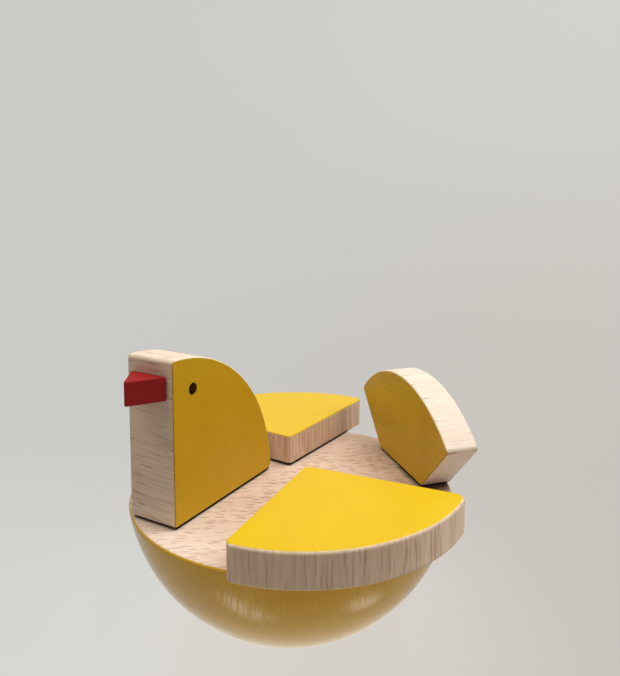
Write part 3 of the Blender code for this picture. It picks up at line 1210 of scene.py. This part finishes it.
    def build_eye(self, node: str, side: int) -> None:
        """Turns an eye pin with a softened rim.

        Args:
            node: The CAD node of the eye.
            side: 1 on the left and -1 on the right.
        """
        low = self.layout.end_gap - self.eye_depth
        blank = Blank.rod(node + "_pin", self.eye_radius, low, 0.0, sides=48)
        blank.ease_edges(sharper_than(QUARTER / 2), self.eye_rim, facets=3)
        place = self.eye_place(side)
        blank.move(place)
        look = self.eye_stain.make(node + "_stain", place)
        deliver(blank.finish(look), Body.HEAD, node)


def build_pegged(slab: QuarterSlab, finish: SlabFinish, dowels: Sequence[Dowel]) -> None:
    """Builds a slab that is pegged to the deck, and its dowels.

    Args:
        slab: The slab.
        finish: Its finish.
        dowels: Its dowels.
    """
    slab.build([dowel.bore() for dowel in dowels], finish, Body.ROCKER)
    for dowel in dowels:
        dowel.build()


@dataclass
class Wing:
    """A wing that lies on the deck, with its pair of dowels."""

    layout: Layout
    node: str
    side: int
    sweep: float
    clearance: float
    point_out: float
    heel: float
    point: float
    pale: Colour
    deep: Colour
    streak: float
    streak_strength: float
    waver: float
    gloss: float
    worn_and_lit_reach: float
    shift: float
    radius: float = 0.0483
    thickness: float = 0.00995
    toe: float = 0.0027
    arc_arris: float = 0.0011
    low_arris: float = 0.0010
    dowel_radius: float = 0.0030
    dowel_in_deck: float = 0.0120
    dowel_cover: float = 0.0030
    inner_from_point: float = 0.0110
    outer_from_rim: float = 0.0110
    line_colour: Colour = (0.34, 0.13, 0.11)
    line_length: float = 0.012
    line_strength: float = 0.42
    mark_turn: float = math.radians(20.0)
    relief: float = 1e-6
    least_lap: float = 0.00012
    waver_lap: float = 0.25
    arc_margin: float = 0.0005
    worn_and_lit: float = 0.6

    @property
    def seat(self) -> Matrix:
        """Finds the wing's seat.

        Returns:
            The frame at the wing's point on the deck, with +X out along the wing.
        """
        edge = QUARTER / 2 + self.sweep
        reach = self.layout.swing_radius + self.clearance - self.point_out * math.cos(edge)
        point = (self.side * self.point_out, self.layout.pivot_back + reach / math.sin(edge), 0.0)
        turn = self.sweep if self.side > 0 else math.pi - self.sweep
        return self.layout.deck @ Matrix.Translation(point) @ Matrix.Rotation(turn, 4, "Z")

    def dowels(self) -> list[Dowel]:
        """Sets out the dowels under the wing.

        Returns:
            The inner and the outer dowel.
        """
        size = self.layout
        outer = size.deck_radius - self.outer_from_rim - self.point_out - self.side * size.bird_shift
        low, high = -self.dowel_in_deck, size.gap + self.thickness - self.dowel_cover
        return [
            Dowel(
                f"{self.node}_{name}_dowel", self.seat @ Matrix.Translation((out, 0.0, 0.0)),
                self.dowel_radius, low, high)
            for name, out in (("inner", self.inner_from_point), ("outer", outer))
        ]

    def build(self) -> None:
        """Builds the wing and its dowels."""
        place = self.seat @ Matrix.Translation((0.0, 0.0, self.layout.gap))
        slab = QuarterSlab(
            self.node, place, self.radius, self.thickness, self.layout.foot_line, self.toe, self.heel,
            self.point, arc_arris=self.arc_arris, low_arris=self.low_arris)
        wood = Beech(
            pale=self.pale, deep=self.deep, fleck=self.line_colour, fleck_share=0.0, streak=self.streak,
            streak_strength=self.streak_strength, line_strength=self.line_strength, shift=self.shift,
            line_cell=(self.streak / 2, self.streak / 2, self.line_length))
        paint = YellowPaint(mark_turn=self.mark_turn, relief=self.relief, shift=self.shift)
        finish = SlabFinish(
            wood, paint, lap=self.least_lap + self.waver_lap * self.waver, arc_margin=self.arc_margin,
            waver=self.waver, worn_and_lit=self.worn_and_lit, worn_and_lit_reach=self.worn_and_lit_reach, specular=self.gloss)
        build_pegged(slab, finish, self.dowels())


@dataclass
class Tail:
    """The tail, which stands on the cut across its point, with its pair of dowels."""

    layout: Layout
    radius: float = 0.0467
    thickness: float = 0.0102
    corner: float = 0.0015
    point_cut: float = 0.0157
    turn: float = math.radians(2.7)
    back_from_rim: float = 0.0021
    aside: float = -0.0010
    dowel_radius: float = 0.0025
    dowel_in_deck: float = 0.0080
    dowel_in_tail: float = 0.0120
    dowel_margin: float = 0.0065
    # The tail's paint is darker and its wood paler than the wings', for the same paint and beech: painted
    # shade on its sides and painted light on its bare edges.
    finish: SlabFinish = SlabFinish(
        Beech(
            pale=(0.93, 0.815, 0.725), deep=(0.84, 0.69, 0.59), fleck_cell=(0.0010, 0.0010, 0.0080),
            fleck_share=0.15, line_strength=0.25, shift=8.2),
        YellowPaint(
            mark_turn=math.radians(86.0), shift=6.0, bright=(0.67, 0.44, 0.014),
            rich=(0.48, 0.29, 0.005), mark_strength=1.3, mark_width=0.0006),
        edge_shade=0.5)

    @property
    def seat(self) -> Matrix:
        """Finds the tail's seat.

        Returns:
            The frame under the middle of the tail's front face.
        """
        back = self.layout.deck_radius - self.back_from_rim - self.thickness
        foot = self.layout.deck @ Matrix.Translation((self.aside, back, 0.0))
        return foot @ Matrix.Rotation(self.turn, 4, "Z")

    def dowels(self) -> list[Dowel]:
        """Sets out the dowels under the tail.

        Returns:
            The left and the right dowel.
        """
        spread = self.point_cut - self.dowel_margin
        low, high = -self.dowel_in_deck, self.layout.gap + self.dowel_in_tail
        return [
            Dowel(
                f"tail_{name}_dowel", self.seat @ Matrix.Translation((aside, self.thickness / 2, 0.0)),
                self.dowel_radius, low, high)
            for name, aside in (("left", spread), ("right", -spread))
        ]

    def build(self) -> None:
        """Builds the tail and its dowels."""
        foot = Matrix.Translation((0.0, 0.0, self.layout.gap - self.point_cut))
        upright = Euler((QUARTER, 0.0, math.pi)).to_matrix().to_4x4()
        place = self.seat @ foot @ upright @ Matrix.Rotation(QUARTER, 4, "Z")
        slab = QuarterSlab(
            "tail", place, self.radius, self.thickness, self.layout.foot_line, self.corner, self.corner,
            point_cut=self.point_cut)
        build_pegged(slab, self.finish, self.dowels())


# The studio


@dataclass(frozen=True)
class AreaLamp:
    """A soft square lamp, placed as seen from the camera: to the right, back and up from the bird."""

    name: str
    offset: Point
    power: float
    colour: Colour
    aim: Point = (0.0, 0.0, 0.04)
    side: float = 0.6


@dataclass(frozen=True)
class Glint:
    """A soft patch of the floor that is brighter or darker in the gloss of the half ball."""

    along: float
    back: float
    turn: float
    half_length: float
    half_width: float
    strength: float
    fade: Pair = (1.0, 0.2)


@dataclass
class Studio:
    """A pale floor and backdrop, soft lamps and the camera."""

    left_far: Colour = (0.592, 0.592, 0.571)
    right_far: Colour = (0.652, 0.645, 0.610)
    left_near: Colour = (0.680, 0.680, 0.658)
    # The near right is darker and warmer: a painted soft shadow on the floor.
    right_near: Colour = (0.571, 0.539, 0.505)
    left_span: Pair = (-0.28, -0.56)
    right_span: Pair = (0.24, -0.45)
    side_span: Pair = (-0.42, 0.42)
    floor_paint: Colour = (0.42, 0.40, 0.37)
    floor_radius: float = 3.0
    floor_sides: int = 96
    glow: Colour = (1.0, 0.96, 0.90)
    glow_strength: float = 0.52
    glow_span: Pair = (0.085, 0.035)
    shadow_span: Pair = (0.30, 0.0)
    shadow_share: float = 0.15
    bounce: float = 0.18
    bounce_span: Pair = (0.110, 0.02)
    far_gloss: float = -0.2
    near_gloss: float = 0.4
    gloss_span: Pair = (0.046, 0.026)
    glints: tuple[Glint, ...] = (
        Glint(-0.025, -0.049, math.radians(5.0), 0.022, 0.0075, 2.5),
        Glint(0.033, -0.042, math.radians(35.0), 0.014, 0.0075, 2.5),
        Glint(0.008, -0.068, 0.0, 0.034, 0.022, -0.35),
    )
    ambient: Colour = (0.175, 0.152, 0.125)
    lamps: tuple[AreaLamp, ...] = (
        AreaLamp("right_high_lamp", (0.42, 0.0, 0.91), 7.3, (1.0, 0.99, 0.94)),
        AreaLamp("left_high_lamp", (-0.42, 0.0, 0.91), 3.6, (1.0, 0.95, 0.83)),
        AreaLamp("right_low_lamp", (0.77, 0.0, 0.64), 1.9, (1.0, 1.0, 0.96)),
    )
    camera_place: Point = (0.20991, -0.04810, 0.14182)
    camera_tilt: Point = (85.411, 0.239, 75.665)
    camera_shift: Pair = (0.00396, -0.16452)
    lens: float = 37.537
    clip_start: float = 0.01

    def build(self) -> None:
        """Builds the floor, the world, the lamps and the camera."""
        self.build_floor()
        self.build_world()
        for lamp in self.lamps:
            self.hang(lamp)
        self.place_camera()

    def tone(self, sheet: NodeSheet, direction: Wire) -> Wire:
        """Gives the pale backdrop's tone, which changes slowly from side to side and downwards.

        Args:
            sheet: The node sheet.
            direction: The unit direction from the camera's fixed place to a place of the backdrop.

        Returns:
            The tone's colour.
        """
        turn = sheet.vector("DOT_PRODUCT", direction, tuple(CAMERA_RIGHT), output="Value")
        height = sheet.split(direction)[2]
        left = sheet.blend(height.rise(*self.left_span), self.left_far, self.left_near)
        right = sheet.blend(height.rise(*self.right_span), self.right_far, self.right_near)
        return sheet.blend(turn.rise(*self.side_span), left, right)

    def build_floor(self) -> None:
        """Lays a wide pale floor that keeps a soft part of the bird's shadow."""
        Blank.clear()
        bpy.ops.mesh.primitive_circle_add(
            vertices=self.floor_sides, radius=self.floor_radius, fill_type="NGON")
        floor = bpy.context.active_object
        floor.name = "floor"
        sheet = NodeSheet.material("floor_paint")
        position = sheet.local()
        out = sheet.vector("LENGTH", position, output="Value")
        ray = sheet.vector("SUBTRACT", position, self.camera_place)
        tone = self.tone(sheet, sheet.vector("NORMALIZE", ray))
        glossy = sheet.add("ShaderNodeLightPath", {}, {}, "Is Glossy Ray")
        # Painted reflections: glossy rays see the floor a little darker, brighter near the foot, and
        # brighter or darker in the glints.
        gloss = self.far_gloss + out.rise(*self.gloss_span) * self.near_gloss
        for glint in self.glints:
            gloss = gloss + self.glint_share(sheet, glint)
        # A painted pool of light on the floor round the bird, which camera and glossy rays see.
        strength = 1.0 + gloss * glossy + out.rise(*self.bounce_span) * self.bounce
        # The floor glows near the foot for all other rays, though it is no lamp, and lights the ball from
        # below.
        glow_tone = sheet.blend(out.rise(*self.glow_span) * self.glow_strength, (0.0, 0.0, 0.0), self.glow)
        matt = sheet.add("ShaderNodeBsdfDiffuse", {}, {"Color": (*self.floor_paint, 1.0)})
        glowing = sheet.add("ShaderNodeEmission", {}, {"Color": glow_tone, "Strength": 1.0})
        lighting = sheet.add("ShaderNodeAddShader", {}, {0: matt, 1: glowing})
        shaded = sheet.add("ShaderNodeBsdfDiffuse", {}, {"Color": tone})
        lit = sheet.vector("MULTIPLY", tone, strength)
        bright = sheet.add("ShaderNodeEmission", {}, {"Color": lit, "Strength": 1.0})
        share = out.rise(*self.shadow_span) * (1.0 - glossy) * self.shadow_share
        seen = sheet.add("ShaderNodeMixShader", {}, {0: share, 1: bright, 2: shaded})
        mix = sheet.add("ShaderNodeMixShader", {}, {0: sheet.shown_rays(), 1: lighting, 2: seen})
        floor.data.materials.append(sheet.close(mix))

    def glint_share(self, sheet: NodeSheet, glint: Glint) -> Wire:
        """Finds how much brighter the floor is in a glint.

        Args:
            sheet: The node sheet.
            glint: The glint.

        Returns:
            The glint's strength in its middle, and 0 outside it.
        """
        place = Matrix.Translation(self.from_camera((glint.along, glint.back, 0.0)))
        turn = math.atan2(CAMERA_RIGHT.y, CAMERA_RIGHT.x) + glint.turn
        size = (1.0 / glint.half_length, 1.0 / glint.half_width, 1.0)
        spot = sheet.vector("MULTIPLY", sheet.local(place @ Matrix.Rotation(turn, 4, "Z")), size)
        return sheet.vector("LENGTH", spot, output="Value").rise(*glint.fade) * glint.strength

    def build_world(self) -> None:
        """Lights the scene softly from all round and shows the pale backdrop."""
        sheet = NodeSheet(bpy.data.worlds.new("studio_world"))
        ambient = sheet.add("ShaderNodeBackground", {}, {"Color": (*self.ambient, 1.0)})
        tone = self.tone(sheet, sheet.add("ShaderNodeTexCoord", {}, {}, "Generated"))
        shown = sheet.add("ShaderNodeBackground", {}, {"Color": tone})
        mix = sheet.add("ShaderNodeMixShader", {}, {0: sheet.shown_rays(), 1: ambient, 2: shown})
        bpy.context.scene.world = sheet.close(mix, "ShaderNodeOutputWorld")

    @staticmethod
    def from_camera(offset: Point) -> Vector:
        """Turns a place to the right, back and up from the bird into the CAD's frame."""
        return CAMERA_RIGHT * offset[0] + CAMERA_BACK * offset[1] + Vector((0.0, 0.0, offset[2]))

    def hang(self, lamp: AreaLamp) -> None:
        """Hangs a lamp and aims it.

        Args:
            lamp: The lamp.
        """
        data = bpy.data.lights.new(lamp.name, "AREA")
        data.shape = "SQUARE"
        data.size = lamp.side
        data.energy = lamp.power
        data.color = lamp.colour
        item = bpy.data.objects.new(lamp.name, data)
        bpy.context.scene.collection.objects.link(item)
        item.location = self.from_camera(lamp.offset)
        aim = self.from_camera(lamp.aim) - item.location
        item.rotation_euler = aim.to_track_quat("-Z", "Y").to_euler()
        item.visible_camera = False
        item.visible_glossy = False

    def place_camera(self) -> None:
        """Places the camera at the photograph's viewing angle."""
        data = bpy.data.cameras.new("camera")
        data.lens = self.lens
        data.shift_x, data.shift_y = self.camera_shift
        data.clip_start = self.clip_start
        item = bpy.data.objects.new("camera", data)
        item.location = self.camera_place
        item.rotation_euler = [math.radians(angle) for angle in self.camera_tilt]
        bpy.context.scene.collection.objects.link(item)
        bpy.context.scene.camera = item


def main() -> None:
    """Builds the bird and its studio."""
    logging.basicConfig(level=logging.INFO, format="%(name)s: %(message)s")
    layout = Layout()
    head = Head(layout)
    wings = [
        Wing(
            layout, "left_wing", 1, sweep=math.radians(6.5), clearance=0.0052, point_out=0.0127,
            heel=0.0021, point=0.0022, pale=(0.82, 0.645, 0.515), deep=(0.66, 0.475, 0.355),
            streak=0.0014, streak_strength=2.4, waver=0.0005, gloss=0.3, worn_and_lit_reach=0.0006, shift=2.1),
        # The right wing's wood is darker than the left's, though both are the same beech: painted shade on
        # its edges.
        Wing(
            layout, "right_wing", -1, sweep=math.radians(3.8), clearance=0.0040, point_out=0.0110,
            heel=0.0027, point=0.0014, pale=(0.73, 0.565, 0.43), deep=(0.53, 0.355, 0.245),
            streak=0.0010, streak_strength=3.4, waver=0.0012, gloss=0.5, worn_and_lit_reach=0.0009, shift=5.4),
    ]
    tail = Tail(layout)
    dowels = [dowel for part in (*wings, tail) for dowel in part.dowels()]
    Ball(layout, tail).build([head.peg().bore(layout.gap), *[dowel.bore() for dowel in dowels]])
    head.build()
    for part in (*wings, tail):
        part.build()
    Studio().build()
    bpy.context.scene.view_settings.view_transform = "Standard"


if __name__ == "__main__":
    main()
